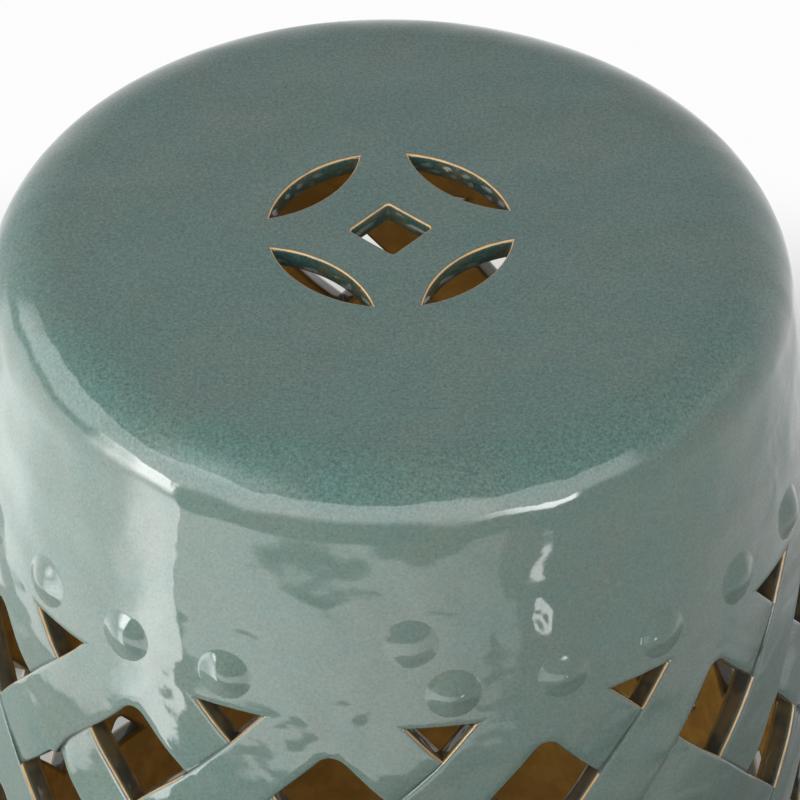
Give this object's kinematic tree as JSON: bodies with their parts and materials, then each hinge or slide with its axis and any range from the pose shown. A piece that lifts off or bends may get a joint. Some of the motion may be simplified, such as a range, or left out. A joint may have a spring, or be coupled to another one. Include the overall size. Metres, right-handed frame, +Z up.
{
  "type": "garden stool",
  "caption": "Barrel-shaped ceramic garden stool: woven openwork wall between plain collars with rows of small domed bosses, and a flat round seat pierced with a coin pattern.",
  "frame": {"origin": "centre of the foot ring, on the ground", "axes": "+Z up along the axis of the barrel, -Y towards the side shown in the picture, +X to its right"},
  "size_m": [0.3317, 0.3318, 0.457],
  "materials": {
    "celadon_glaze": "gloss",
    "bare_clay": "matte"
  },
  "bodies": {
    "root": {"seat_slab": "celadon_glaze", "upper_collar": "celadon_glaze", "lower_collar": "celadon_glaze", "foot_ring": "bare_clay", "upper_bosses": "celadon_glaze", "lower_bosses": "celadon_glaze", "right_strap_01": "celadon_glaze", "right_strap_02": "celadon_glaze", "right_strap_03": "celadon_glaze", "right_strap_04": "celadon_glaze", "right_strap_05": "celadon_glaze", "right_strap_06": "celadon_glaze", "right_strap_07": "celadon_glaze", "right_strap_08": "celadon_glaze", "right_strap_09": "celadon_glaze", "right_strap_10": "celadon_glaze", "right_strap_11": "celadon_glaze", "right_strap_12": "celadon_glaze", "right_strap_13": "celadon_glaze", "left_strap_01": "celadon_glaze", "left_strap_02": "celadon_glaze", "left_strap_03": "celadon_glaze", "left_strap_04": "celadon_glaze", "left_strap_05": "celadon_glaze", "left_strap_06": "celadon_glaze", "left_strap_07": "celadon_glaze", "left_strap_08": "celadon_glaze", "left_strap_09": "celadon_glaze", "left_strap_10": "celadon_glaze", "left_strap_11": "celadon_glaze", "left_strap_12": "celadon_glaze", "left_strap_13": "celadon_glaze"}
  },
  "joints": []
}
